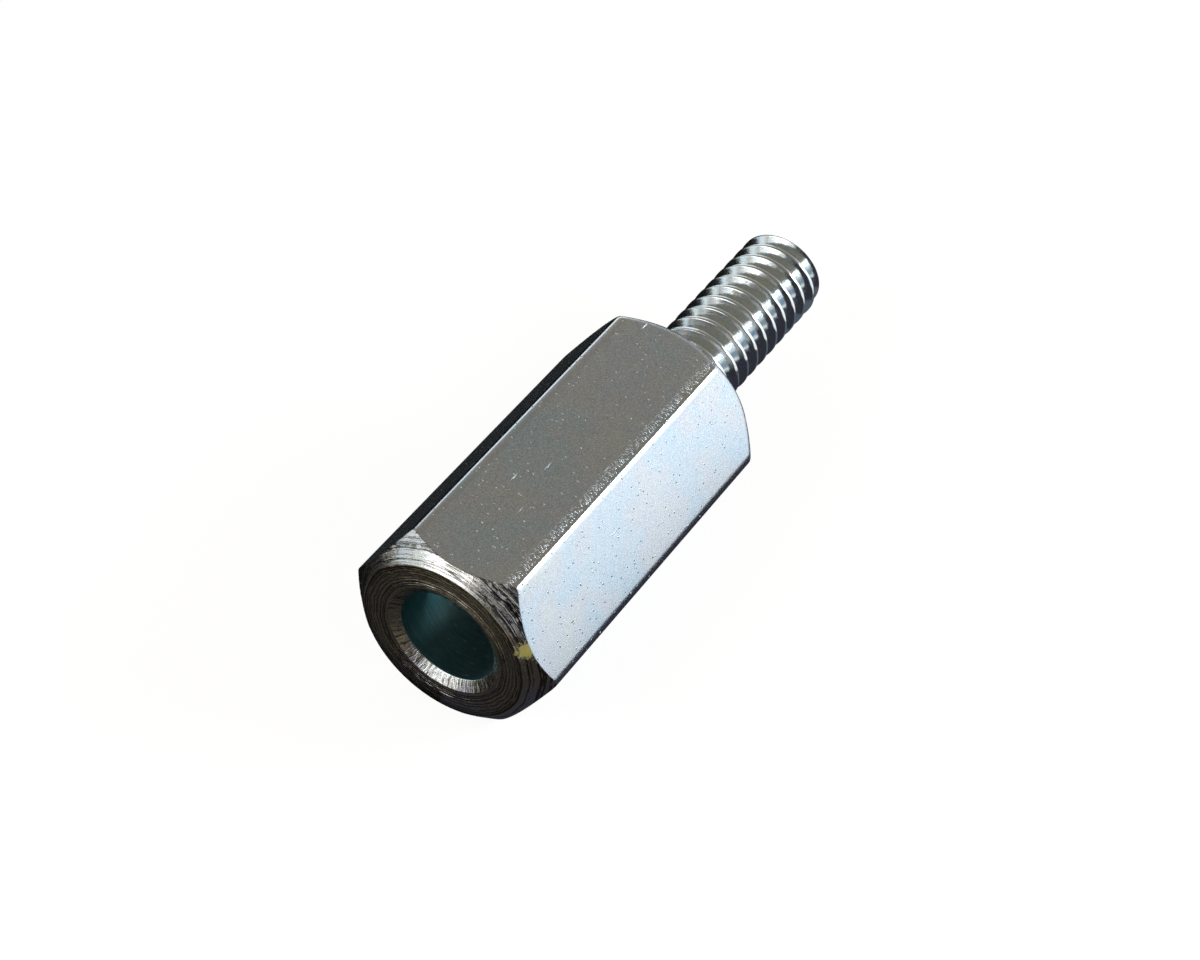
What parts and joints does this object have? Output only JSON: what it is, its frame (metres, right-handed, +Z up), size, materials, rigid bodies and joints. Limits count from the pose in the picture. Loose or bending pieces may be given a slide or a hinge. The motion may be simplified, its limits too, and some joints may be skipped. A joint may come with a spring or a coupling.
{
  "type": "hexagonal spacer stud",
  "caption": "Hexagonal steel spacer with a right-hand threaded stud, and a countersunk, counterbored and tapped hole opposite, for fixing a panel or board at a set height.",
  "frame": {"origin": "on the surface that the part lies on, below the middle of its whole length", "axes": "+X along the axis of the body and the stud, towards the stud's tip; +Z up, square to the flat that it lies on"},
  "size_m": [0.041, 0.0146, 0.0127],
  "materials": {
    "zinc_plate": "bright zinc plate with a clear blue passivation, satin flats and turned ends"
  },
  "bodies": {
    "root": {"spacer_stud": "zinc_plate"}
  },
  "joints": []
}
